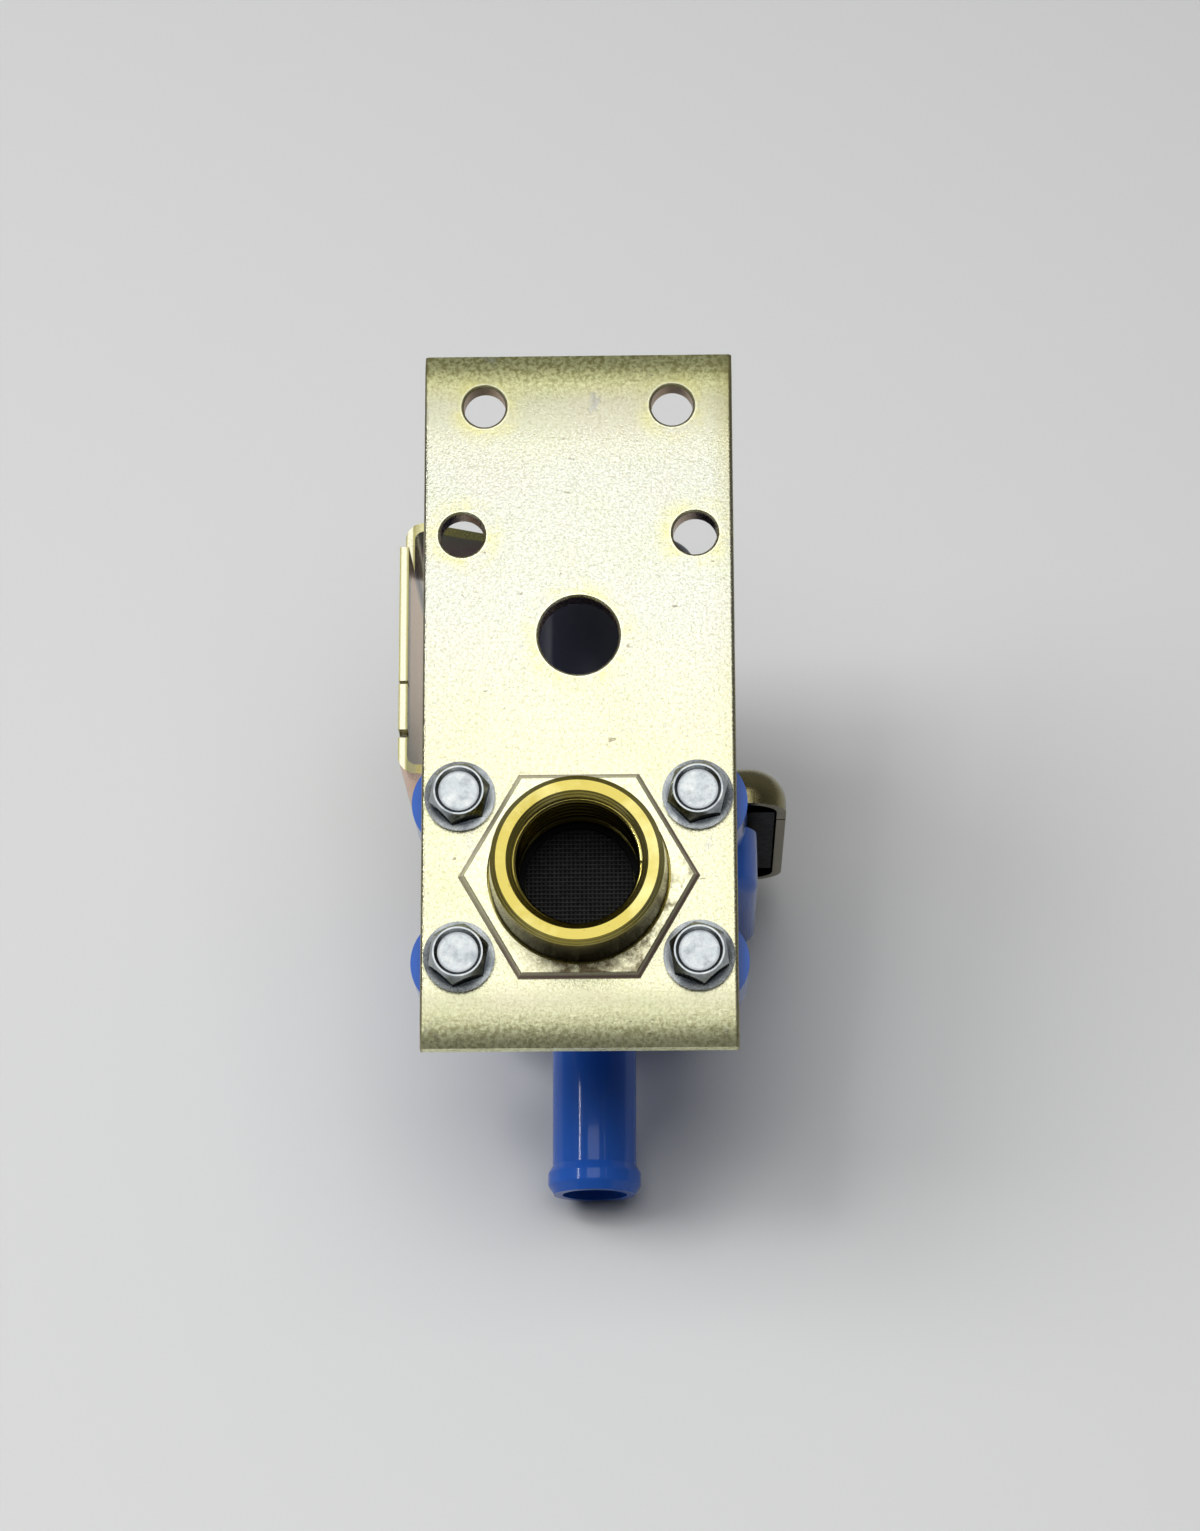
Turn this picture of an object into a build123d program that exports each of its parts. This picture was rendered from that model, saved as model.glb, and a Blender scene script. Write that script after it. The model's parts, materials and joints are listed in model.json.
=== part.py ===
"""Water inlet solenoid valve: bracket, brass inlet, plastic body, pilot valve and coil.

The origin is on the inlet axis at the front face of the bracket. X points right, Y away
from the supply hose and Z up along the bracket. Lengths are in millimetres.
"""
import os
from itertools import product

from build123d import *

# Fits
slide_gap = 0.05
clear_gap = 0.3

# Mounting bracket
bracket_width = 46.0
bracket_above = 80.65
bracket_below = 25.1
bracket_thick = 3.5
bracket_end_roll = 4.6
bracket_end_drop = 1.0
bracket_side_round = 0.6
hole_edge_break = 0.35
window_radius = 5.93
window_height = 36.5
upper_hole_radius = 3.14
upper_hole_offset = 14.03
upper_hole_edge = 8.35
lower_hole_radius = 3.28
lower_hole_offset = 17.29
lower_hole_height = 52.18

# Raised hexagon that keys the inlet fitting
hexagon_radius = 17.6
hexagon_height = 1.2
hexagon_slope = 35.0
hexagon_wall = 1.3

# Bracket screws
screw_offset = 17.33
screw_level = 11.95
screw_radius = 2.3
screw_length = 13.0
screw_flange_radius = 5.2
screw_flange_thick = 1.0
screw_flange_edge = 0.8
screw_hex_flats = 7.94
screw_head_height = 4.4
screw_rim_radius = 3.65
screw_crown_drop = 1.9
screw_dish_mouth = 3.4
screw_dish_radius = 2.95
screw_dish_depth = 0.6
screw_turns = (20, 16, 39, 15)

# Inlet fitting
neck_stand_out = 10.6
neck_base_radius = 13.05
neck_front_radius = 12.5
neck_edge_break = 0.8
mouth_radius = 10.2
mouth_bevel = 0.9
thread_core_radius = 9.3
thread_length = 13.4
screen_seat_radius = 8.95
screen_seat_depth = 2.0
water_way_radius = 7.0
fitting_flange_thick = 2.6
spigot_radius = 11.0
spigot_length = 8.2
oring_section = 1.8
oring_groove_start = 2.8
oring_groove_width = 2.4

# Inlet screen and flow washer
screen_frame_wall = 0.9
screen_frame_thick = 1.4
screen_mesh_thick = 0.35
flow_washer_radius = 8.5
flow_washer_hole = 2.2
flow_washer_thick = 3.0

# Solenoid axis
axis_x = 1.2
axis_y = 40.0

# Valve body
body_flange_thick = 6.0
boss_radius = 7.3
boss_depth = 11.2
boss_waist_inset = 4.0
socket_wall = 3.4
chamber_half_width = 25.1
chamber_half_depth = 24.5
chamber_corner = 9.0
chamber_top = 12.0
chamber_rim_bottom = 2.5
chamber_rim_round = 2.0
hub_radius = 20.5
hub_bottom = -8.5
hub_bottom_round = 4.0
chamber_radius = 18.0
chamber_floor = -5.0
inlet_duct_radius = 5.5
seat_radius = 8.4
seat_bore = 6.4
seat_top = 6.0
outlet_bore = 4.9

# Hose barb
barb_end = -40.3
barb_stem_radius = 6.4
barb_bead_radius = 7.1
barb_bead_length = 4.4
barb_lead_length = 1.4
barb_land_length = 1.8
barb_bead_round = 0.6
barb_tip_radius = 6.2
barb_root_step = 0.6
barb_root_length = 7.0

# Diaphragm and its insert
diaphragm_radius = 20.4
diaphragm_rim_width = 2.2
diaphragm_rim_thick = 2.0
diaphragm_thick = 1.4
diaphragm_flat_radius = 10.2
insert_radius = 8.4
insert_thick = 1.8
insert_stem_radius = 4.8
insert_stem_length = 5.0
nozzle_radius = 2.6
nozzle_height = 2.1
pilot_bore = 0.9

# Bonnet
bonnet_thick = 7.6
bonnet_inset = 1.8
bonnet_cavity_height = 3.2
bonnet_screw_offset_x = 17.2
bonnet_screw_offset_y = 17.5
bonnet_screw_radius = 1.5
bonnet_screw_length = 14.0
bonnet_screw_head_radius = 2.9
bonnet_screw_head_height = 1.7
bonnet_screw_slot_width = 0.8
bonnet_screw_slot_depth = 0.7
lug_front_inset = 6.5
lug_back_inset = 6.5

# Guide tube, fixed core and armature
tube_bore = 5.5
tube_wall = 0.5
tube_flange_radius = 9.3
tube_flange_thick = 1.0
tube_top_inset = 2.6
core_stud_radius = 3.2
core_stud_proud = 3.5
shading_ring_outer = 4.6
shading_ring_wall = 1.0
shading_ring_height = 1.5
armature_length = 24.8
armature_travel = 3.0
armature_slack = 0.2
armature_flute_width = 2.0
armature_flute_depth = 0.9
armature_seal_radius = 2.6
armature_seal_length = 3.5
armature_seal_proud = 0.7
spring_pocket_radius = 3.0
spring_pocket_depth = 6.0
spring_mean_radius = 2.3
spring_wire_radius = 0.3
spring_turns = 5

# Coil
bobbin_wall = 1.05
bobbin_flange_thick = 1.6
bobbin_flange_radius = 12.6
winding_inset = 0.6
case_wall = 3.0
case_edge_round = 1.2
flux_sleeve_wall = 0.65
flux_sleeve_length = 16.0
terminal_block_half_width = 11.0
terminal_block_reach = 4.0
terminal_block_height = 12.0
terminal_block_level = 48.0
terminal_spacing = 12.0
terminal_width = 6.35
terminal_thick = 0.8
terminal_reach = 8.0
terminal_root = 4.5
terminal_hole_radius = 0.9

# Yoke
yoke_thick = 1.4
yoke_height = 43.7
yoke_left = -27.6
yoke_right = 30.7
yoke_overhang = 0.5
yoke_bend = 1.4
hook_left = 8.0
hook_drop = 6.4
hook_bend = 5.0
hook_corner = 6.0
hook_seam = 10.0
hook_seam_width = 0.45
hook_seam_height = 3.0
tongue_radius = 6.5
tongue_root_half = 12.5
tongue_taper = 9.8
notches = ((4.2, 1.3), (12.6, 0.5))
notch_depth = 3.0
web_corner_drop = 8.0

# Push-on retainer
retainer_radius = 6.2
retainer_thick = 0.5
retainer_collar = 1.2
retainer_collar_wall = 0.8

# Heights that follow from the stack on the solenoid axis
bonnet_top = chamber_top + bonnet_thick
cavity_top = chamber_top + bonnet_cavity_height
yoke_floor = bonnet_top + yoke_thick
yoke_ceiling = bonnet_top + yoke_height - yoke_thick
yoke_top = bonnet_top + yoke_height
membrane_top = seat_top + diaphragm_thick
insert_top = membrane_top + insert_thick
nozzle_top = insert_top + nozzle_height
armature_bottom = nozzle_top + armature_seal_proud
armature_top = armature_bottom + armature_length
core_bottom = armature_top + armature_travel + armature_slack
core_top = yoke_ceiling - clear_gap
coil_bottom = yoke_floor
coil_top = yoke_ceiling - clear_gap

# Radii that follow from the fits
tube_radius = tube_bore + tube_wall
sleeve_bore = tube_radius + clear_gap
sleeve_radius = sleeve_bore + flux_sleeve_wall
bobbin_bore = sleeve_radius + clear_gap
bobbin_core_radius = bobbin_bore + bobbin_wall
winding_radius = bobbin_flange_radius - winding_inset
case_bore = bobbin_flange_radius + clear_gap
case_radius = case_bore + case_wall
spigot_bore = spigot_radius + slide_gap

# Depths that follow from the inlet stack
pocket_floor = bracket_thick - hexagon_height
fitting_seat = pocket_floor + fitting_flange_thick
spigot_end = fitting_seat + spigot_length
washer_front = spigot_end + clear_gap
washer_back = washer_front + flow_washer_thick
screen_front = thread_length - neck_stand_out + screen_seat_depth - screen_frame_thick
chamber_front = axis_y - chamber_half_depth
upper_hole_height = bracket_above - upper_hole_edge
hook_end = yoke_floor - hook_drop
yoke_front = chamber_front - yoke_overhang
yoke_back = axis_y + chamber_half_depth + yoke_overhang
bonnet_edge_round = hook_bend - yoke_thick + clear_gap

SCREW_PLACES = [(x, z) for x in (-screw_offset, screw_offset) for z in (-screw_level, screw_level)]
BONNET_SCREW_PLACES = [
    (axis_x + x, axis_y + y)
    for x in (-bonnet_screw_offset_x, bonnet_screw_offset_x)
    for y in (-bonnet_screw_offset_y, bonnet_screw_offset_y)
]


def prism(outline, front, depth):
    """Extrude an X-Z outline from a front plane towards the back."""
    return extrude(Plane.XZ.offset(-front) * outline, amount=-depth)


def rod_y(radius, x, z, front, back):
    """Round rod along Y."""
    return prism(Pos(x, z) * Circle(radius), front, back - front)


def turned_y(points):
    """Solid of revolution about the inlet axis from (radius, y) points."""
    return revolve(make_face(Polyline(*points, close=True)), Axis.Y)


def turned_z(points):
    """Solid of revolution about the solenoid axis from (radius, z) points."""
    face = make_face(Plane.XZ * Polyline(*points, close=True))
    return Pos(axis_x, axis_y, 0) * revolve(face, Axis.Z)


def ring_z(inner, outer, bottom, top):
    """Plain ring about the solenoid axis."""
    return turned_z([(inner, bottom), (outer, bottom), (outer, top), (inner, top)])


def disc_z(radius, bottom, top):
    """Plain disc about the solenoid axis."""
    return turned_z([(0, bottom), (radius, bottom), (radius, top), (0, top)])


def block(x_range, y_range, z_range):
    """Box between three pairs of limits."""
    sizes = [high - low for low, high in (x_range, y_range, z_range)]
    centre = [(low + high) / 2 for low, high in (x_range, y_range, z_range)]
    return Pos(*centre) * Box(*sizes)


def rounded_outline(points):
    """Closed outline from (x, z, corner radius) points."""
    outline = make_face(Polyline(*[(x, z) for x, z, _ in points], close=True))
    for x, z, radius in points:
        if radius > 0:
            corner = outline.vertices().sort_by_distance((x, z, 0))[0]
            outline = fillet(corner, radius)
    return outline


def mounting_bracket():
    """Heavy plate with rolled ends, mounting holes and the raised hexagon."""
    top_roll = bracket_above - bracket_end_roll
    bottom_roll = bracket_end_roll - bracket_below
    profile = make_face([
        Line((0, bottom_roll), (0, top_roll)),
        TangentArc((0, top_roll), (bracket_end_drop, bracket_above), tangent=(0, 1)),
        Line((bracket_end_drop, bracket_above), (bracket_thick, bracket_above)),
        Line((bracket_thick, bracket_above), (bracket_thick, -bracket_below)),
        Line((bracket_thick, -bracket_below), (bracket_end_drop, -bracket_below)),
        TangentArc((0, bottom_roll), (bracket_end_drop, -bracket_below), tangent=(0, -1)),
    ])
    plate = extrude(Plane.YZ * profile, amount=bracket_width / 2, both=True)
    for end in (0, -1):
        side = plate.faces().sort_by(Axis.X)[end]
        plate = fillet(side.edges().sort_by(Axis.Y)[:3], bracket_side_round)
    plate += extrude(Plane.XZ * RegularPolygon(hexagon_radius, 6), amount=hexagon_height, taper=hexagon_slope)
    plate -= prism(RegularPolygon(hexagon_radius - hexagon_wall, 6), pocket_floor, hexagon_height)
    plate -= rod_y(neck_base_radius + clear_gap, 0, 0, -hexagon_height, bracket_thick)
    holes = [(window_radius, 0, window_height)]
    for side in (-1, 1):
        holes.append((upper_hole_radius, side * upper_hole_offset, upper_hole_height))
        holes.append((lower_hole_radius, side * lower_hole_offset, lower_hole_height))
    for radius, x, z in holes:
        plate -= rod_y(radius, x, z, 0, bracket_thick)
        rim = Plane.XZ * (Pos(x, z) * Circle(radius + hole_edge_break))
        plate -= extrude(rim, amount=-hole_edge_break, taper=45)
    for x, z in SCREW_PLACES:
        plate -= rod_y(screw_radius + clear_gap, x, z, 0, bracket_thick)
    return plate


def inlet_fitting():
    """Brass neck with the hose thread, hexagon flange and sealed spigot."""
    front = -neck_stand_out
    thread_end = front + thread_length
    seat_end = thread_end + screen_seat_depth
    groove_radius = spigot_bore - oring_section - 2 * slide_gap
    groove_start = fitting_seat + oring_groove_start
    groove_end = groove_start + oring_groove_width
    barrel = turned_y([
        (mouth_radius, front),
        (neck_front_radius - neck_edge_break, front),
        (neck_front_radius, front + neck_edge_break),
        (neck_base_radius, -hexagon_height),
        (neck_base_radius, fitting_seat),
        (spigot_radius, fitting_seat),
        (spigot_radius, groove_start),
        (groove_radius, groove_start),
        (groove_radius, groove_end),
        (spigot_radius, groove_end),
        (spigot_radius, spigot_end),
        (water_way_radius, spigot_end),
        (water_way_radius, seat_end),
        (screen_seat_radius, seat_end),
        (screen_seat_radius, thread_end),
        (thread_core_radius, thread_end),
        (thread_core_radius, front + mouth_bevel),
    ])
    key_radius = hexagon_radius - hexagon_wall - clear_gap
    key = prism(RegularPolygon(key_radius, 6), pocket_floor, fitting_flange_thick)
    key -= rod_y(neck_base_radius - clear_gap, 0, 0, pocket_floor, fitting_seat)
    return barrel + key


def inlet_seal():
    """O-ring in the groove of the spigot."""
    outer = spigot_bore - slide_gap
    middle = outer - oring_section / 2
    groove_middle = fitting_seat + oring_groove_start + oring_groove_width / 2
    section = Pos(middle, groove_middle) * Circle(oring_section / 2)
    return revolve(section, Axis.Y)


def screen_frame():
    """Ring that carries the inlet mesh."""
    outer = screen_seat_radius - slide_gap
    back = screen_front + screen_frame_thick
    inner = outer - screen_frame_wall
    return turned_y([(inner, screen_front), (outer, screen_front), (outer, back), (inner, back)])


def inlet_screen():
    """Mesh disc inside its frame."""
    radius = screen_seat_radius - 2 * slide_gap - screen_frame_wall
    middle = screen_front + screen_frame_thick / 2
    return rod_y(radius, 0, 0, middle - screen_mesh_thick / 2, middle + screen_mesh_thick / 2)


def flow_washer():
    """Rubber washer that holds the flow steady."""
    dish = flow_washer_thick / 4
    return turned_y([
        (flow_washer_hole, washer_front + dish),
        (flow_washer_hole + dish, washer_front),
        (flow_washer_radius, washer_front),
        (flow_washer_radius, washer_back),
        (flow_washer_hole, washer_back),
    ])


def body_flange():
    """Front flange with four round screw bosses."""
    bosses = Sketch() + [Pos(x, z) * Circle(boss_radius) for x, z in SCREW_PLACES]
    tall = Rectangle(2 * screw_offset, 2 * (screw_level + boss_radius - boss_waist_inset / 2))
    wide = Rectangle(2 * (screw_offset + boss_radius - boss_waist_inset), 2 * screw_level)
    plate = prism(bosses + tall + wide, bracket_thick, body_flange_thick)
    return plate + prism(bosses, bracket_thick, boss_depth)


def chamber_block(bottom, top, inset=0):
    """Rounded block around the solenoid axis."""
    half_width = chamber_half_width - inset
    half_depth = chamber_half_depth - inset
    outline = RectangleRounded(2 * half_width, 2 * half_depth, chamber_corner - inset)
    return extrude(Plane.XY.offset(bottom) * (Pos(axis_x, axis_y) * outline), amount=top - bottom)


def hose_barb():
    """Outlet of the body: beaded stem, root, and the tube that rises to the seat."""
    bead_start = barb_end + barb_bead_length
    land_start = barb_end + barb_lead_length
    barb = turned_z([
        (outlet_bore, barb_end),
        (barb_tip_radius, barb_end),
        (barb_bead_radius, land_start),
        (barb_bead_radius, land_start + barb_land_length),
        (barb_stem_radius, bead_start),
        (barb_stem_radius, hub_bottom - barb_root_length),
        (seat_radius + barb_root_step, hub_bottom),
        (seat_radius, hub_bottom),
        (seat_radius, seat_top),
        (seat_bore, seat_top),
        (seat_bore, chamber_floor),
        (outlet_bore, hub_bottom),
    ])
    rings = barb.edges().filter_by(GeomType.CIRCLE)
    bead = [edge for edge in rings if abs(edge.radius - barb_bead_radius) < slide_gap]
    return fillet(bead, barb_bead_round)


def valve_body():
    """Blue moulding: flange, inlet socket and chamber."""
    rim = chamber_block(chamber_rim_bottom, chamber_top)
    rim = fillet(rim.edges().group_by(Axis.Z)[0], chamber_rim_round)
    hub = disc_z(hub_radius, hub_bottom, chamber_top)
    hub = fillet(hub.edges().group_by(Axis.Z)[0], hub_bottom_round)
    socket_radius = spigot_bore + socket_wall
    socket_end = axis_y - chamber_radius
    socket = rod_y(socket_radius, 0, 0, bracket_thick, socket_end)
    socket -= block(
        (-socket_radius, socket_radius),
        (chamber_front - clear_gap, socket_end),
        (chamber_top, chamber_top + socket_radius),
    )
    body = body_flange() + socket + rim + hub
    rim_floor = chamber_top - diaphragm_rim_thick
    body -= disc_z(chamber_radius, chamber_floor, chamber_top)
    body -= disc_z(diaphragm_radius + clear_gap, rim_floor, chamber_top)
    body -= disc_z(seat_radius, hub_bottom, chamber_floor)
    pocket = RegularPolygon(hexagon_radius - hexagon_wall, 6)
    body -= prism(pocket, bracket_thick, fitting_seat - bracket_thick)
    body -= rod_y(spigot_bore, 0, 0, fitting_seat, washer_front)
    body -= rod_y(flow_washer_radius + slide_gap, 0, 0, washer_front, washer_back)
    body -= rod_y(inlet_duct_radius, 0, 0, washer_back, axis_y - (chamber_radius + seat_radius) / 2)
    for x, z in SCREW_PLACES:
        body -= rod_y(screw_radius + slide_gap, x, z, bracket_thick, screw_length + clear_gap)
    for x, y in BONNET_SCREW_PLACES:
        depth = bonnet_screw_length - bonnet_thick + clear_gap
        body -= Pos(x, y, chamber_top - depth / 2) * Cylinder(bonnet_screw_radius + slide_gap, depth)
    return body


def diaphragm():
    """Rubber membrane, clamped at its rim and lying on the seat."""
    rim_bottom = chamber_top - diaphragm_rim_thick
    rim_inner = diaphragm_radius - diaphragm_rim_width
    hole = insert_stem_radius + slide_gap
    return turned_z([
        (hole, seat_top),
        (diaphragm_flat_radius, seat_top),
        (rim_inner - clear_gap, rim_bottom),
        (diaphragm_radius, rim_bottom),
        (diaphragm_radius, chamber_top),
        (rim_inner - 2 * clear_gap - diaphragm_thick, chamber_top),
        (diaphragm_flat_radius, membrane_top),
        (hole, membrane_top),
    ])


def diaphragm_insert():
    """Stiff centre of the diaphragm with the pilot nozzle."""
    return turned_z([
        (pilot_bore, seat_top - insert_stem_length),
        (insert_stem_radius, seat_top - insert_stem_length),
        (insert_stem_radius, membrane_top),
        (insert_radius, membrane_top),
        (insert_radius, insert_top),
        (nozzle_radius, insert_top),
        (pilot_bore + slide_gap + clear_gap, nozzle_top),
        (pilot_bore, nozzle_top),
    ])


def bonnet():
    """Black cover of the diaphragm with the lug that the yoke hooks over."""
    hook_inner = yoke_right - yoke_thick - clear_gap
    lug_left = axis_x + chamber_half_width - chamber_corner
    lug_bottom = hook_end + clear_gap
    lug_outline = rounded_outline([
        (lug_left, lug_bottom, 0),
        (hook_inner, lug_bottom, 0),
        (hook_inner, bonnet_top, hook_bend - clear_gap),
        (lug_left, bonnet_top, 0),
    ])
    lug_depth = 2 * chamber_half_depth - lug_front_inset - lug_back_inset
    cover = chamber_block(chamber_top, bonnet_top, bonnet_inset)
    cover = fillet(cover.edges().group_by(Axis.Z)[-1], bonnet_edge_round)
    cover += prism(lug_outline, chamber_front + lug_front_inset, lug_depth)
    cover -= disc_z(chamber_radius - clear_gap, chamber_top, cavity_top)
    cover -= disc_z(tube_flange_radius + slide_gap, cavity_top, cavity_top + tube_flange_thick)
    cover -= disc_z(tube_radius + slide_gap, cavity_top, bonnet_top)
    sink = bonnet_screw_head_height + clear_gap
    for x, y in BONNET_SCREW_PLACES:
        shaft = Cylinder(bonnet_screw_radius + clear_gap, bonnet_thick)
        cover -= Pos(x, y, chamber_top + bonnet_thick / 2) * shaft
        well = Cylinder(bonnet_screw_head_radius + clear_gap, sink)
        cover -= Pos(x, y, bonnet_top - sink / 2) * well
    return cover


def bonnet_screws():
    """Four slotted screws sunk in the bonnet."""
    screws = []
    head_top = bonnet_top - clear_gap
    head_bottom = head_top - bonnet_screw_head_height
    for x, y in BONNET_SCREW_PLACES:
        shank_bottom = bonnet_top - bonnet_screw_length
        shank_middle = (shank_bottom + head_bottom) / 2
        head_middle = (head_bottom + head_top) / 2
        shank = Pos(x, y, shank_middle) * Cylinder(bonnet_screw_radius, head_bottom - shank_bottom)
        head = Pos(x, y, head_middle) * Cylinder(bonnet_screw_head_radius, bonnet_screw_head_height)
        slot = Pos(x, y, head_top) * Box(
            2 * bonnet_screw_head_radius, bonnet_screw_slot_width, 2 * bonnet_screw_slot_depth
        )
        screws.append(shank + head - slot)
    return Compound(children=screws)


def guide_tube():
    """Thin tube with a foot flange that guides the armature."""
    top = core_top - tube_top_inset
    return turned_z([
        (tube_bore, cavity_top),
        (tube_flange_radius, cavity_top),
        (tube_flange_radius, cavity_top + tube_flange_thick),
        (tube_radius, cavity_top + tube_flange_thick),
        (tube_radius, top),
        (tube_bore, top),
    ])


def fixed_core():
    """Steel core at the top of the guide tube with the stud that holds the coil."""
    radius = tube_bore - slide_gap
    core = disc_z(radius, core_bottom, core_top)
    core += disc_z(core_stud_radius, core_top, yoke_top + core_stud_proud)
    groove_inner = shading_ring_outer - shading_ring_wall - slide_gap
    groove_outer = shading_ring_outer + slide_gap
    core -= ring_z(groove_inner, groove_outer, core_bottom, core_bottom + shading_ring_height)
    return core


def shading_ring():
    """Copper ring in the face of the fixed core."""
    inner = shading_ring_outer - shading_ring_wall
    return ring_z(inner, shading_ring_outer, core_bottom, core_bottom + shading_ring_height)


def armature():
    """Plunger with two water flutes, a seal pocket and a spring pocket."""
    plunger = disc_z(tube_bore - slide_gap, armature_bottom, armature_top)
    seal_top = nozzle_top + armature_seal_length
    plunger -= disc_z(armature_seal_radius, armature_bottom, seal_top)
    plunger -= disc_z(spring_pocket_radius, armature_top - spring_pocket_depth, armature_top)
    for side in (-1, 1):
        reach = axis_y + side * tube_bore
        flute = block(
            (axis_x - armature_flute_width / 2, axis_x + armature_flute_width / 2),
            (reach - armature_flute_depth, reach + armature_flute_depth),
            (armature_bottom, armature_top),
        )
        plunger -= flute
    return plunger


def armature_seal():
    """Rubber plug that shuts the pilot nozzle."""
    return disc_z(armature_seal_radius - slide_gap, nozzle_top, nozzle_top + armature_seal_length)


def armature_spring():
    """Return spring between the armature and the fixed core."""
    bottom = armature_top - spring_pocket_depth + spring_wire_radius + slide_gap
    top = core_bottom - spring_wire_radius - slide_gap
    path = Helix((top - bottom) / spring_turns, top - bottom, spring_mean_radius)
    start = Plane(path @ 0, z_dir=path % 0)
    coil = sweep(start * Circle(spring_wire_radius), path=path, is_frenet=True)
    return Pos(axis_x, axis_y, bottom) * coil


def flux_sleeves():
    """Two steel sleeves between the guide tube and the bobbin."""
    lower = ring_z(sleeve_bore, sleeve_radius, coil_bottom, coil_bottom + flux_sleeve_length)
    upper = ring_z(sleeve_bore, sleeve_radius, coil_top - flux_sleeve_length, coil_top)
    return Compound(children=[lower, upper])


def coil_bobbin():
    """Plastic spool of the coil."""
    floor = coil_bottom + bobbin_flange_thick
    ceiling = coil_top - bobbin_flange_thick
    return turned_z([
        (bobbin_bore, coil_bottom),
        (bobbin_flange_radius, coil_bottom),
        (bobbin_flange_radius, floor),
        (bobbin_core_radius, floor),
        (bobbin_core_radius, ceiling),
        (bobbin_flange_radius, ceiling),
        (bobbin_flange_radius, coil_top),
        (bobbin_bore, coil_top),
    ])


def coil_winding():
    """Copper winding on the spool."""
    floor = coil_bottom + bobbin_flange_thick + slide_gap
    ceiling = coil_top - bobbin_flange_thick - slide_gap
    return ring_z(bobbin_core_radius + slide_gap, winding_radius, floor, ceiling)


def terminal_slots(gap):
    """Blade outlines of the two terminals, grown by a gap."""
    back = axis_y + case_radius + terminal_block_reach
    half_thick = terminal_thick / 2 + gap
    half_width = terminal_width / 2 + gap
    blades = []
    for side in (-1, 1):
        middle = axis_x + side * terminal_spacing / 2
        blades.append(block(
            (middle - half_thick, middle + half_thick),
            (back - terminal_root - gap, back + terminal_reach),
            (terminal_block_level - half_width, terminal_block_level + half_width),
        ))
    return blades


def coil_case():
    """Moulded sleeve around the winding with the terminal block at the back."""
    case = ring_z(case_bore, case_radius, coil_bottom, coil_top)
    rims = [edge for edge in case.edges().filter_by(GeomType.CIRCLE) if edge.radius > case_bore + slide_gap]
    case = fillet(rims, case_edge_round)
    case += block(
        (axis_x - terminal_block_half_width, axis_x + terminal_block_half_width),
        (axis_y + case_bore + case_wall / 2, axis_y + case_radius + terminal_block_reach),
        (terminal_block_level - terminal_block_height / 2, terminal_block_level + terminal_block_height / 2),
    )
    case -= disc_z(case_bore, coil_bottom, coil_top)
    for slot in terminal_slots(slide_gap):
        case -= slot
    return case


def terminals():
    """Two blade terminals with their latch holes."""
    tip = axis_y + case_radius + terminal_block_reach + terminal_reach
    blades = []
    for side, blade in zip((-1, 1), terminal_slots(0)):
        lengthwise = blade.edges().filter_by(Axis.X).group_by(Axis.Y)[-1]
        blade = chamfer(lengthwise, terminal_width / 5, terminal_width / 8)
        hole_place = Pos(tip - terminal_reach * 0.45, terminal_block_level)
        hole = Plane.YZ * (hole_place * Circle(terminal_hole_radius))
        middle = axis_x + side * terminal_spacing / 2
        blade -= Pos(middle, 0, 0) * extrude(hole, amount=terminal_thick, both=True)
        blades.append(blade)
    return Compound(children=blades)


def hook_pan(inset):
    """Rounded pan of the hook, set in by a sheet thickness."""
    left = hook_left - hook_corner
    pan = block(
        (left, yoke_right - inset),
        (yoke_front + inset, yoke_back - inset),
        (hook_end, yoke_floor - inset),
    )
    pan = fillet(pan.edges().filter_by(Axis.Z).group_by(Axis.X)[-1], hook_corner - inset)
    rim = pan.edges().group_by(Axis.Z)[-1]
    return fillet([edge for edge in rim if edge.center().X > left + clear_gap], hook_bend - inset)


def yoke_tongue():
    """Plan of the tongue that the coil's stud passes through."""
    bend_end = yoke_left + yoke_bend + yoke_thick
    taper_end = bend_end + tongue_taper
    half = make_face(Polyline(
        (yoke_left, axis_y),
        (yoke_left, axis_y - tongue_root_half),
        (bend_end, axis_y - tongue_root_half),
        (taper_end, axis_y - tongue_radius),
        (axis_x, axis_y - tongue_radius),
        (axis_x, axis_y),
        close=True,
    ))
    whole = half + mirror(half, Plane.XZ.offset(-axis_y))
    return whole + Pos(axis_x, axis_y) * Circle(tongue_radius)


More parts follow.
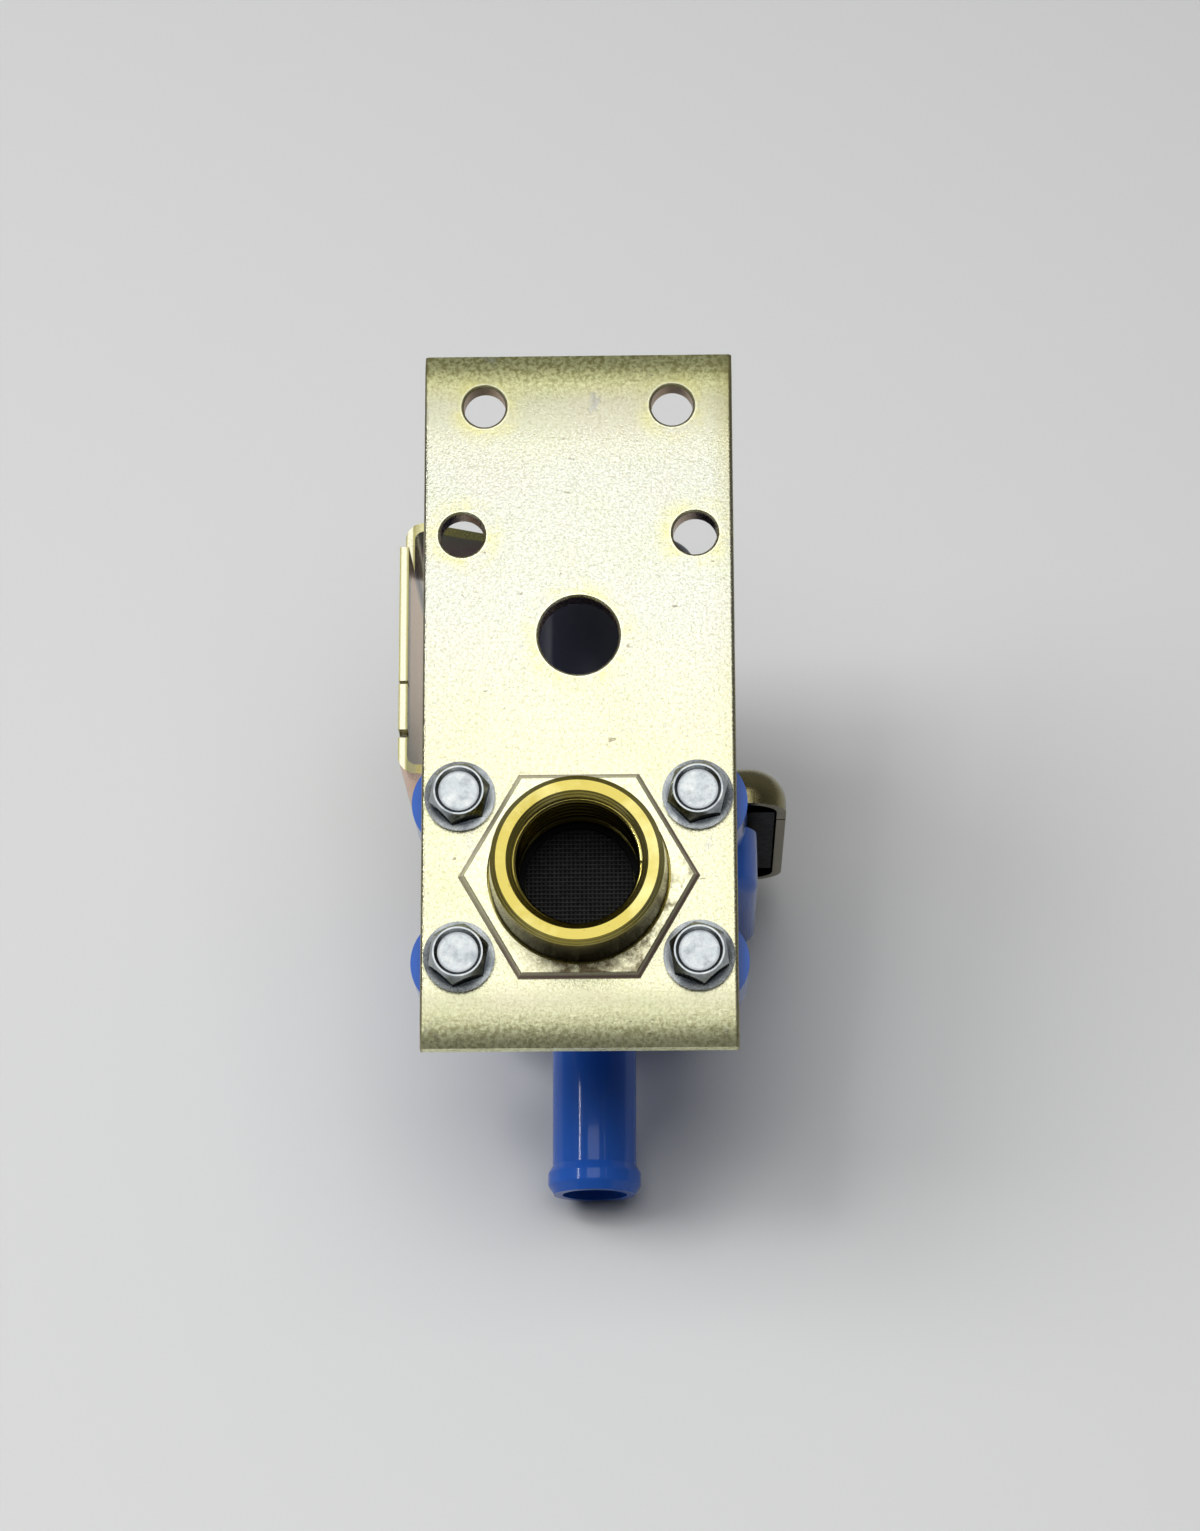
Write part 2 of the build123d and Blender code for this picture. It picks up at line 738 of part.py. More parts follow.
def yoke():
    """Bent steel frame of the coil: tongue, web, floor and the hook on the right."""
    web_inner = yoke_left + yoke_thick
    tongue_tip = axis_x + tongue_radius
    outer_bend = yoke_bend + yoke_thick
    frame_outline = rounded_outline([
        (tongue_tip, yoke_top, 0),
        (yoke_left, yoke_top, outer_bend),
        (yoke_left, bonnet_top, outer_bend),
        (hook_left, bonnet_top, 0),
        (hook_left, yoke_floor, 0),
        (web_inner, yoke_floor, yoke_bend),
        (web_inner, yoke_ceiling, yoke_bend),
        (tongue_tip, yoke_ceiling, 0),
    ])
    frame = prism(frame_outline, yoke_front, yoke_back - yoke_front)
    surround = Pos((yoke_left + tongue_tip) / 2, (yoke_front + yoke_back) / 2) * Rectangle(
        tongue_tip - yoke_left, yoke_back - yoke_front
    )
    corner_level = Plane.XY.offset(yoke_top - web_corner_drop)
    frame -= extrude(corner_level * (surround - yoke_tongue()), amount=web_corner_drop)
    hook = hook_pan(0) - hook_pan(yoke_thick)
    hook &= block((hook_left, yoke_right), (yoke_front, yoke_back), (hook_end, yoke_floor))
    hook -= block(
        (yoke_right - yoke_thick, yoke_right),
        (yoke_front + hook_seam, yoke_front + hook_seam + hook_seam_width),
        (hook_end, hook_end + hook_seam_height),
    )
    frame += hook
    for edge, (level, height) in product((yoke_front, yoke_back), notches):
        frame -= block(
            (yoke_left, web_inner),
            (edge - notch_depth, edge + notch_depth),
            (yoke_floor + level, yoke_floor + level + height),
        )
    frame -= disc_z(tube_radius + clear_gap, bonnet_top, yoke_floor)
    frame -= disc_z(core_stud_radius + clear_gap, yoke_ceiling, yoke_top)
    return frame


def push_retainer():
    """Spring disc pressed over the stud to hold the coil down."""
    bore = core_stud_radius + slide_gap
    collar = bore + retainer_collar_wall
    return turned_z([
        (bore, yoke_top),
        (retainer_radius, yoke_top),
        (retainer_radius, yoke_top + retainer_thick),
        (collar, yoke_top + retainer_thick),
        (collar, yoke_top + retainer_collar),
        (bore, yoke_top + retainer_collar),
    ])


def bracket_screw():
    """Hex washer head screw on the inlet axis."""
    flange_front = -screw_flange_thick
    head_front = -screw_head_height
    screw_hex_corner = screw_hex_flats / 3 ** 0.5
    screw = turned_y([
        (0, screw_length),
        (screw_radius * 0.5, screw_length),
        (screw_radius, screw_length - screw_radius),
        (screw_radius, 0),
        (screw_flange_radius, 0),
        (screw_flange_radius, -screw_flange_edge),
        (screw_hex_flats / 2, flange_front),
        (0, flange_front),
    ])
    head = prism(RegularPolygon(screw_hex_flats / 2, 6, major_radius=False), head_front, screw_head_height)
    crown = turned_y([
        (0, 0),
        (screw_flange_radius, 0),
        (screw_flange_radius, head_front + screw_crown_drop),
        (screw_hex_corner, head_front + screw_crown_drop),
        (screw_rim_radius, head_front),
        (0, head_front),
    ])
    dish = turned_y([
        (0, head_front),
        (screw_dish_mouth, head_front),
        (screw_dish_radius, head_front + screw_dish_depth),
        (0, head_front + screw_dish_depth),
    ])
    return screw + (head & crown) - dish


def bracket_screws():
    """Four screws that hold the bracket to the body."""
    screw = bracket_screw()
    return Compound(children=[
        Pos(x, 0, z) * Rot(0, -turn, 0) * screw for (x, z), turn in zip(SCREW_PLACES, screw_turns)
    ])


NODES = {
    "mounting_bracket": mounting_bracket,
    "bracket_screws": bracket_screws,
    "inlet_fitting": inlet_fitting,
    "inlet_seal": inlet_seal,
    "screen_frame": screen_frame,
    "inlet_screen": inlet_screen,
    "flow_washer": flow_washer,
    "valve_body": valve_body,
    "hose_barb": hose_barb,
    "diaphragm": diaphragm,
    "diaphragm_insert": diaphragm_insert,
    "bonnet": bonnet,
    "bonnet_screws": bonnet_screws,
    "guide_tube": guide_tube,
    "fixed_core": fixed_core,
    "shading_ring": shading_ring,
    "armature": armature,
    "armature_seal": armature_seal,
    "armature_spring": armature_spring,
    "flux_sleeves": flux_sleeves,
    "coil_bobbin": coil_bobbin,
    "coil_winding": coil_winding,
    "coil_case": coil_case,
    "terminals": terminals,
    "yoke": yoke,
    "push_retainer": push_retainer,
}

os.makedirs("parts", exist_ok=True)
for name, make in NODES.items():
    export_step(make(), f"parts/{name}.step")
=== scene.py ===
"""Looks of the water inlet solenoid valve: finishes, soft pieces, inlet thread, inlet mesh and stage."""

import json
import math
from typing import NamedTuple

import bpy
from bpy.props import FloatProperty, IntProperty, PointerProperty
from mathutils import Matrix, Vector

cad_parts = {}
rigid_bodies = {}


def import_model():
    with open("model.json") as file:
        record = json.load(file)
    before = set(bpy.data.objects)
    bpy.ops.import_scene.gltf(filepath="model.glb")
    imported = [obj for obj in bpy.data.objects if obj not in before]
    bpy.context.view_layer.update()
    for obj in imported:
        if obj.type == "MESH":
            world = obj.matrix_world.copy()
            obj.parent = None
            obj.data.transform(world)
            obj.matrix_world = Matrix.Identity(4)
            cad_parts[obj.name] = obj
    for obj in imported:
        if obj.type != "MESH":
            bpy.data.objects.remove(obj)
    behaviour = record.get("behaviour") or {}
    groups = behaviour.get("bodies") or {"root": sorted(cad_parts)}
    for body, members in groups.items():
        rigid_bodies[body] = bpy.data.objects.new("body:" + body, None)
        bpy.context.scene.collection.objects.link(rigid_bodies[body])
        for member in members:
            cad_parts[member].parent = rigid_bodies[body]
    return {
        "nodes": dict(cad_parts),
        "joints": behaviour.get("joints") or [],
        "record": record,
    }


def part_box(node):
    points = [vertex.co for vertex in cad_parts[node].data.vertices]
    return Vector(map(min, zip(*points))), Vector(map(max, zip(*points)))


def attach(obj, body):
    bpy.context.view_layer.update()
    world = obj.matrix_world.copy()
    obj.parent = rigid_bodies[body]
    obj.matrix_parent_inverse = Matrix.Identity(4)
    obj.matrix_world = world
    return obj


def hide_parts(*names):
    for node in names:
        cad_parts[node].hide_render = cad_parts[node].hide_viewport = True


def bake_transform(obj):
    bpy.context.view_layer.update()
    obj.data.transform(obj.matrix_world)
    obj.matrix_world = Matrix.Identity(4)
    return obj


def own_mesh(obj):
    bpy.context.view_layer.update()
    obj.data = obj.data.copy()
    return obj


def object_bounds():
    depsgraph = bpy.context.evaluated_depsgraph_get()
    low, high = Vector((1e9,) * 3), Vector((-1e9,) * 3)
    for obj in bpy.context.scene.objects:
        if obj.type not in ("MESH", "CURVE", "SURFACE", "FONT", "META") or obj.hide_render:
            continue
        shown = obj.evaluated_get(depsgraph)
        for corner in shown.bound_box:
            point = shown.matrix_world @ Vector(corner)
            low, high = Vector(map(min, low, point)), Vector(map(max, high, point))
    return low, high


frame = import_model()

bl_info = {
    "name": "Water inlet solenoid valve",
    "version": (1, 0, 0),
    "blender": (4, 5, 0),
    "location": "View3D > Sidebar > Valve",
    "description": "Dresses the valve and sets its stage",
    "category": "Object",
}

CAD_LOW, CAD_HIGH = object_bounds()
MM = 0.001


def mm(*values, start=0.0):
    """Lengths in millimetres from a start, as a tuple in metres."""
    return tuple(start + value * MM for value in values)


# Camera, found from the bracket's corners and holes
CAMERA_PLACE = Vector((15.5, -564.1, -134.4)) * MM
CAMERA_RISE = math.radians(14.98)
CAMERA_TURN = math.radians(-1.26)
CAMERA_ROLL = math.radians(0.18)
PHOTO_HEIGHT = 1531
FOCAL_PIXELS = 4000
SENSOR = 36.0
CLIP_NEAR = 0.01
CLIP_FAR = 20

# Ends of a ramp: rising over its span, or fading
RISE = (0.0, 1.0)
FADE = (1.0, 0.0)

# Bracket: its window, the levels of its whiter middle (a painted highlight of the glare), and the levels at
# which its plating changes
WINDOW_HEIGHT = 36.5 * MM
WINDOW_RADIUS = 5.93 * MM
PALE_START = mm(18, 40)
PALE_END = mm(62, 76)
ROUGH_BOTTOM = mm(-21, -15.5)
ROUGH_TOP = mm(66, 77)
YELLOW_BOTTOM = mm(-22, -18.5)
YELLOW_TOP = mm(73, 77)
WORN_BOTTOM = mm(-22.5, -18.5)
WORN_TOP = mm(72.5, 78)
OLIVE_SIDE = mm(19.5, 22.8)
OLIVE_HEIGHT = mm(45, 70)
BORDER_SIDE = mm(22.5, 22.9)

# Bracket holes: distances from their rims
HOLE_WALL = mm(-0.05, 0.12)
RIM_HIGHLIGHT_START = mm(0.12, 0.25)
RIM_HIGHLIGHT_END = mm(0.45, 0.65)
HALO = mm(0.3, 3.4)

# Raised hexagon: its face and bevel, the painted light and shade on its bevel, the neck's painted dark
# reflection on it, and its blotched corner
RAISED_FACE = mm(-1.15, -0.95)
BEVEL_FOOT = mm(-0.75, -0.5)
BEVEL_BACK = mm(-0.2, -0.05)
BEVEL_SHADE_CORNER = mm(-12, 12)
MIRROR_HEIGHT = mm(-10, -12.2)
MIRROR_MIDDLE = 2.0 * MM
MIRROR_SIDE = mm(5, 11)
BLOTCH_CORNER = mm(10, 18)

# Yoke: its outer faces, and the sheet's inner side of the tongue
YOKE_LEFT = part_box("yoke")[0][0]
YOKE_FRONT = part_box("yoke")[0][1]
YOKE_UNDERSIDE = 19.6 * MM
TONGUE_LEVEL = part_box("yoke")[1][2] - 1.4 * MM

# Yoke: the parts that have a tone of their own, and the painted shade and painted highlight on it
WEB_INSIDE_START = mm(1.25, 1.38, start=YOKE_LEFT)
WEB_INSIDE_END = mm(2.2, 4.0, start=YOKE_LEFT)
WEB_INSIDE_TOP = mm(57, 60)
WEB_TOP_SHADE = mm(53.5, 56)
WEB_LIP = mm(1, 6, start=YOKE_FRONT)
WEB_FOOT_HEIGHT = mm(24, 33)
WEB_FOOT_SIDE = mm(-20, -18)
STRIP_END = mm(1.3, 3.0, start=YOKE_LEFT)
STRIP_OUTER_LINE = mm(0.12, 0.35, start=YOKE_LEFT)
STRIP_INNER_LINE = mm(0.95, 1.2, start=YOKE_LEFT)
FLOOR_UNDER = mm(1, 4, start=YOKE_UNDERSIDE)
FLOOR_COPPER_END = mm(0, 10)
HOOK_SIDE = mm(20, 24)
TONGUE_UNDER = mm(-2, -1, start=TONGUE_LEVEL)
TONGUE_DEPTH = mm(30, 37)

# Parts of a normal between which a face counts as turned to the front or down
FRONT_FACING = (-0.7, -0.9)
DOWN_FACING = (-0.5, -0.8)
DOWN_LEANING = (-0.1, -0.4)
BORE_LEANING = (-0.05, -0.55)

# Bracket screws: flange, painted shadow at the foot of the hexagon, and painted shade in the groove on top
FLANGE_RADIUS = 5.2 * MM
HEAD_FOOT_START = mm(3.75, 3.95)
HEAD_FOOT_END = mm(4.3, 4.9)
HEAD_FOOT_LEVEL = mm(-3, -1.2)
HEAD_SHADE_HEIGHT = mm(-2, 3)
HEAD_GROOVE_START = mm(2.55, 2.85)
HEAD_GROOVE_END = mm(2.95, 3.2)

# Front of the neck, and the depth over which painted shade darkens its bore
NECK_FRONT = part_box("inlet_fitting")[0][1]
BORE_SHADE = mm(0.8, 3.5)

# Bump depths of the grain and of the turning rings
GRAIN_DEPTH = 0.2 * MM
RING_DEPTH = 0.05 * MM

# Inlet thread and inlet mesh: steps and sides, and the two layers of wire in wire radii
THREAD_STEPS = 72
THREAD_SIDES = 6
UNIT_WIRE = 2.0
WIRE_LAYERS = (("screen_warp", 0.0, 1.0), ("screen_weft", math.pi / 2, 2.6))

# Finishes of the nodes
FINISH_OF_NODE = {
    "mounting_bracket": "bracket_chromate",
    "yoke": "yoke_chromate",
    "inlet_fitting": "turned_brass",
    "bracket_screws": "screw_zinc_painted_shade",
    "bonnet_screws": "bright_zinc",
    "push_retainer": "bright_zinc",
    "flux_sleeves": "bright_zinc",
    "valve_body": "blue_nylon",
    "hose_barb": "blue_nylon",
    "bonnet": "black_nylon",
    "screen_frame": "black_nylon",
    "inlet_screen": "screen_dark",
    "coil_case": "coil_resin",
    "coil_bobbin": "white_nylon",
    "diaphragm_insert": "white_nylon",
    "coil_winding": "copper",
    "shading_ring": "copper",
    "terminals": "tinned_brass",
    "guide_tube": "stainless",
    "fixed_core": "stainless",
    "armature": "stainless",
    "armature_spring": "stainless",
    "inlet_seal": "black_rubber",
    "flow_washer": "black_rubber",
    "diaphragm": "black_rubber",
    "armature_seal": "black_rubber",
}


class Softbox(NamedTuple):
    """Area light: place and size in metres, power in watts, and what it shows in or lights."""

    name: str
    place: tuple
    width: float
    height: float
    power: float
    mirrored: bool = True
    lit: bool = True


# Lights: the front and side fills aren't mirrored in the metal, the back fill is, and the left strip is only
# mirrored
LIGHT_AIM = (0, 0.02, 0.02)
LIGHTS = (
    Softbox("key_light", (-0.02, -0.70, 0.175), width=0.42, height=0.46, power=1.28),
    Softbox("left_strip", (-0.57, -0.66, 0.20), width=0.026, height=0.44, power=1.45, lit=False),
    Softbox("right_strip", (0.42, -0.72, 0.20), width=0.04, height=0.20, power=0.05),
    Softbox("left_fill", (-0.80, -0.78, 0.45), width=0.72, height=0.72, power=8.6, mirrored=False),
    Softbox("near_fill", (-0.38, -1.00, 0.42), width=0.2, height=0.2, power=2.3, mirrored=False),
    Softbox("front_fill", (0.10, -0.95, 0.40), width=0.9, height=0.9, power=4.6, mirrored=False),
    Softbox("back_fill", (-0.45, 0.95, 0.55), width=0.8, height=0.8, power=5.0),
)

# Surround: the heights between which it turns from dark to light, and its strength
SURROUND_SPAN = (-1.0, 0.6)
SURROUND_STRENGTH = 0.6

TABLE_CORNERS = ((-1, -1), (1, -1), (1, 1), (-1, 1))


class ValveSizes(bpy.types.PropertyGroup):
    """Sizes of the pieces that are made here."""

    thread_pitch: FloatProperty(name="Thread pitch", default=1.814 * MM, unit="LENGTH")
    thread_height: FloatProperty(name="Thread height", default=0.62 * MM, unit="LENGTH")
    mesh_pitch: FloatProperty(name="Mesh pitch", default=0.62 * MM, unit="LENGTH")
    mesh_wire: FloatProperty(name="Mesh wire", default=0.11 * MM, unit="LENGTH")
    wire_sides: IntProperty(name="Wire sides", default=6, min=4)
    table_tilt: FloatProperty(name="Table tilt", default=24.0)
    table_half: FloatProperty(name="Table half size", default=0.6, unit="LENGTH")


def sizes():
    """The valve's own sizes in the scene."""
    return bpy.context.scene.valve_sizes


# Nodes

class Wiring:
    """Short ways to add nodes to one tree and join them."""

    def __init__(self, tree):
        self.nodes = tree.nodes
        self.link = tree.links.new

    def fill(self, socket, value):
        """Give a socket a constant, or join another socket to it."""
        if isinstance(value, bpy.types.NodeSocket):
            self.link(value, socket)
        elif socket.type == "RGBA":
            socket.default_value = (*value, 1)
        else:
            socket.default_value = value

    def node(self, kind, inputs=None):
        """New node with some of its inputs given."""
        node = self.nodes.new(kind)
        for label, value in (inputs or {}).items():
            self.fill(node.inputs[label], value)
        return node

    def maths(self, operation, *values):
        """One maths node."""
        node = self.nodes.new("ShaderNodeMath")
        node.operation = operation
        for socket, value in zip(node.inputs, values):
            self.fill(socket, value)
        return node.outputs["Value"]

    def product(self, first, *others):
        """Product of several values."""
        for other in others:
            first = self.maths("MULTIPLY", first, other)
        return first

    def distance(self, across, along):
        """Length from two sides at right angles."""
        squares = self.maths("ADD", self.product(across, across), self.product(along, along))
        return self.maths("SQRT", squares)

    def ramp(self, value, span, ends=RISE):
        """Clamped straight ramp of a value over a span."""
        node = self.node("ShaderNodeMapRange", {
            "Value": value,
            "From Min": span[0],
            "From Max": span[1],
            "To Min": ends[0],
            "To Max": ends[1],
        })
        return node.outputs["Result"]

    def window(self, value, start, end, strength=1.0):
        """Mask that rises over one span and fades over another."""
        return self.product(self.ramp(value, start, (0.0, strength)), self.ramp(value, end, FADE))

    def mix(self, factor, first, second, blend="MIX"):
        """Mix of two colours."""
        node = self.nodes.new("ShaderNodeMix")
        node.data_type = "RGBA"
        node.blend_type = blend
        for label, value in (("Factor", factor), ("A", first), ("B", second)):
            self.fill(node.inputs[label], value)
        return node.outputs["Result"]

    def parts(self, vector):
        """X, Y and Z of a vector."""
        split = self.node("ShaderNodeSeparateXYZ", {"Vector": vector})
        return split.outputs["X"], split.outputs["Y"], split.outputs["Z"]

    def joined(self, **axes):
        """Vector of the axes that are given."""
        return self.node("ShaderNodeCombineXYZ", axes).outputs["Vector"]

    def object_place(self):
        """Object coordinates."""
        return self.node("ShaderNodeTexCoord").outputs["Object"]

    def noise(self, place, scale, detail, roughness=0.5, shift=None):
        """Noise; with a shift it is one of several that differ."""
        node = self.nodes.new("ShaderNodeTexNoise")
        inputs = {"Vector": place, "Scale": scale, "Detail": detail, "Roughness": roughness}
        if shift is not None:
            node.noise_dimensions = "4D"
            inputs["W"] = shift
        for label, value in inputs.items():
            self.fill(node.inputs[label], value)
        return node.outputs["Fac"]

    def bump(self, height, strength, depth):
        """Normal that is bumped by a height."""
        inputs = {"Height": height, "Strength": strength, "Distance": depth}
        return self.node("ShaderNodeBump", inputs).outputs["Normal"]


# Shader groups that several finishes share

def shader_group(name, inputs, outputs):
    """New shader group with its sockets."""
    group = bpy.data.node_groups.new(name, "ShaderNodeTree")
    for label, kind, value in inputs:
        socket = group.interface.new_socket(label, in_out="INPUT", socket_type=kind)
        socket.default_value = value
    for label, kind in outputs:
        group.interface.new_socket(label, in_out="OUTPUT", socket_type=kind)
    entry = group.nodes.new("NodeGroupInput")
    leave = group.nodes.new("NodeGroupOutput")
    return group, entry, leave


def grain_group():
    """Fine grain: a speckle mask and a bumped normal."""
    group, entry, leave = shader_group(
        "fine_grain",
        [("Scale", "NodeSocketFloat", 1500.0), ("Bump", "NodeSocketFloat", 0.1)],
        [("Speckle", "NodeSocketFloat"), ("Normal", "NodeSocketVector")],
    )
    wiring = Wiring(group)
    noise = wiring.noise(wiring.object_place(), entry.outputs["Scale"], detail=3.0, roughness=0.65)
    wiring.link(wiring.ramp(noise, (0.35, 0.7)), leave.inputs["Speckle"])
    wiring.link(wiring.bump(noise, entry.outputs["Bump"], GRAIN_DEPTH), leave.inputs["Normal"])
    return group


def tint_group():
    """Slow drift between a main colour and two tints, as on passivated plating."""
    group, entry, leave = shader_group(
        "plating_tint",
        [
            ("Main", "NodeSocketColor", (0.8, 0.75, 0.4, 1)),
            ("First Tint", "NodeSocketColor", (0.6, 0.65, 0.3, 1)),
            ("Second Tint", "NodeSocketColor", (0.8, 0.5, 0.45, 1)),
            ("Scale", "NodeSocketFloat", 60.0),
            ("Amount", "NodeSocketFloat", 0.5),
        ],
        [("Color", "NodeSocketColor")],
    )
    wiring = Wiring(group)
    place = wiring.object_place()
    colour = entry.outputs["Main"]
    for label, shift in (("First Tint", 0.0), ("Second Tint", 3.7)):
        noise = wiring.noise(place, entry.outputs["Scale"], detail=4.0, shift=shift)
        share = wiring.product(wiring.ramp(noise, (0.48, 0.72)), entry.outputs["Amount"])
        colour = wiring.mix(share, colour, entry.outputs[label])
    wiring.link(colour, leave.inputs["Color"])
    return group


SHARED = {}


def shared(make):
    """A shader group, built once."""
    if make not in SHARED:
        SHARED[make] = make()
    return SHARED[make]


# Finishes

class Finish(Wiring):
    """One material, and the colour that its layers build up."""

    def __init__(self, name, metallic=0.0, colour=None):
        self.material = bpy.data.materials.new(name)
        self.material.use_nodes = True
        super().__init__(self.material.node_tree)
        self.shader = self.nodes["Principled BSDF"]
        self.set("Metallic", metallic)
        self.colour = colour
        self.place = None

    def set(self, label, value):
        """Give one input of the main shader."""
        self.fill(self.shader.inputs[label], value)

    def group(self, make, inputs):
        """One of the shared groups."""
        node = self.nodes.new("ShaderNodeGroup")
        node.node_tree = shared(make)
        for label, value in inputs.items():
            self.fill(node.inputs[label], value)
        return node

    def locate(self):
        """X, Y and Z of the object coordinates, which the specks use too."""
        self.place = self.object_place()
        return self.parts(self.place)

    def facing(self):
        """X, Y and Z of the surface's normal."""
        return self.parts(self.node("ShaderNodeNewGeometry").outputs["Normal"])

    def specks(self, scale, span, stretch=(1, 1, 1)):
        """Sparse marks where a noise is high."""
        spread = self.node("ShaderNodeMapping", {"Vector": self.place, "Scale": stretch})
        return self.ramp(self.noise(spread.outputs["Vector"], scale, detail=5.0, roughness=0.6), span)

    def grain(self, scale, bump):
        """Bump the surface with a fine grain, and return its speckle mask."""
        node = self.group(grain_group, {"Scale": scale, "Bump": bump})
        self.set("Normal", node.outputs["Normal"])
        return node.outputs["Speckle"]

    def rough_grain(self, scale, bump, roughness):
        """Grain that sets the roughness too."""
        speckle = self.grain(scale, bump)
        self.set("Roughness", self.ramp(speckle, RISE, roughness))
        return speckle

    def tint(self, main, first, second, scale, amount):
        """Start the colour with a plating tint."""
        inputs = {"Main": main, "First Tint": first, "Second Tint": second, "Scale": scale, "Amount": amount}
        self.colour = self.group(tint_group, inputs).outputs["Color"]
        return self.colour

    def lay(self, mask, colour, blend="MIX"):
        """Put one layer of colour over what is there."""
        self.colour = self.mix(mask, self.colour, colour, blend)

    def done(self):
        """Close the colour and return the material."""
        self.set("Base Color", self.colour)
        return self.material


def bracket_holes():
    """Centres and radii of the bracket's holes, as the mounts and the window give them."""
    holes = []
    for mount in frame["record"]["mounts"]:
        if mount["kind"] == "bolt_pattern":
            half = mount["dims"]["spacing_x_mm"] * MM / 2
            for side in (-1, 1):
                holes.append((side * half, mount["pos_m"][2], mount["dims"]["hole_r_mm"] * MM))
    holes.append((0.0, WINDOW_HEIGHT, WINDOW_RADIUS))
    return holes


def hole_distance(paint, x, z):
    """Least distance from the rims of the bracket's holes."""
    nearest = None
    for centre_x, centre_z, radius in bracket_holes():
        across = paint.maths("SUBTRACT", x, centre_x)
        along = paint.maths("SUBTRACT", z, centre_z)
        rim = paint.maths("SUBTRACT", paint.distance(across, along), radius)
        nearest = rim if nearest is None else paint.maths("MINIMUM", nearest, rim)
    return nearest


def bracket_ends(paint, x, z):
    """Yellow and mottled plating at the bracket's ends, olive and brown along its sides."""
    paint.lay(paint.ramp(z, YELLOW_TOP, (0.0, 0.9)), (0.84, 0.85, 0.45))
    paint.lay(paint.ramp(z, YELLOW_BOTTOM, (0.9, 0.0)), (0.95, 0.96, 0.62))
    worn_bottom = paint.ramp(z, WORN_BOTTOM, (0.55, 0.0))
    worn_top = paint.ramp(z, WORN_TOP, (0.0, 0.75))
    mottle = paint.specks(1500.0, (0.44, 0.60))
    paint.lay(paint.product(paint.maths("MAXIMUM", worn_bottom, worn_top), mottle), (0.34, 0.31, 0.10))
    olive = paint.product(paint.ramp(x, OLIVE_SIDE, (0.0, 0.65)), paint.ramp(z, OLIVE_HEIGHT, (0.25, 1.0)))
    paint.lay(olive, (0.44, 0.41, 0.17))
    border = paint.ramp(paint.maths("ABSOLUTE", x), BORDER_SIDE, (0.0, 0.75))
    paint.lay(border, (0.20, 0.15, 0.07))


def hole_rings(paint, rim):
    """Yellow blotches round the bracket's holes, and a painted highlight along their rims."""
    halo = paint.product(paint.ramp(rim, HALO, (0.8, 0.0)), paint.specks(210.0, (0.40, 0.62)))
    paint.lay(halo, (0.76, 0.72, 0.30))
    # Painted highlight: a bright line along each hole's rim
    rim_highlight = paint.window(rim, RIM_HIGHLIGHT_START, RIM_HIGHLIGHT_END, strength=0.7)
    paint.lay(rim_highlight, (0.95, 0.94, 0.68))


def wear_marks(paint):
    """Scuffs, nicks, hair scratches and flecks, from the largest to the smallest."""
    scuff = paint.specks(170.0, (0.64, 0.72), stretch=(1, 1, 0.7))
    paint.lay(paint.product(scuff, 0.6), (0.44, 0.45, 0.48))
    nick = paint.specks(620.0, (0.67, 0.71), stretch=(0.5, 1, 1))
    paint.lay(paint.product(nick, 0.8), (0.26, 0.23, 0.16))
    hair = paint.specks(1300.0, (0.50, 0.66), stretch=(0.8, 1, 1))
    paint.lay(paint.product(hair, 0.3), (0.66, 0.63, 0.50), "MULTIPLY")
    fleck = paint.specks(2300.0, (0.46, 0.64))
    paint.lay(paint.product(fleck, 0.42), (0.68, 0.66, 0.46), "MULTIPLY")


def hexagon_reflection_and_blotches(paint, x, z, raised):
    """Painted dark reflection of the neck on the raised hexagon under it, and brown blotches to its right.
    """
    below = paint.ramp(z, MIRROR_HEIGHT)
    side = paint.maths("ABSOLUTE", paint.maths("SUBTRACT", x, MIRROR_MIDDLE))
    # Painted reflection: the neck's dark mirror image just below it
    mirror = paint.product(below, paint.ramp(side, MIRROR_SIDE, FADE), paint.specks(420.0, (0.30, 0.55)))
    right = paint.ramp(paint.maths("SUBTRACT", x, z), BLOTCH_CORNER, (0.0, 0.9))
    blotch = paint.product(right, paint.specks(520.0, (0.46, 0.60)))
    paint.lay(paint.product(paint.maths("MAXIMUM", mirror, blotch), raised), (0.10, 0.08, 0.045))


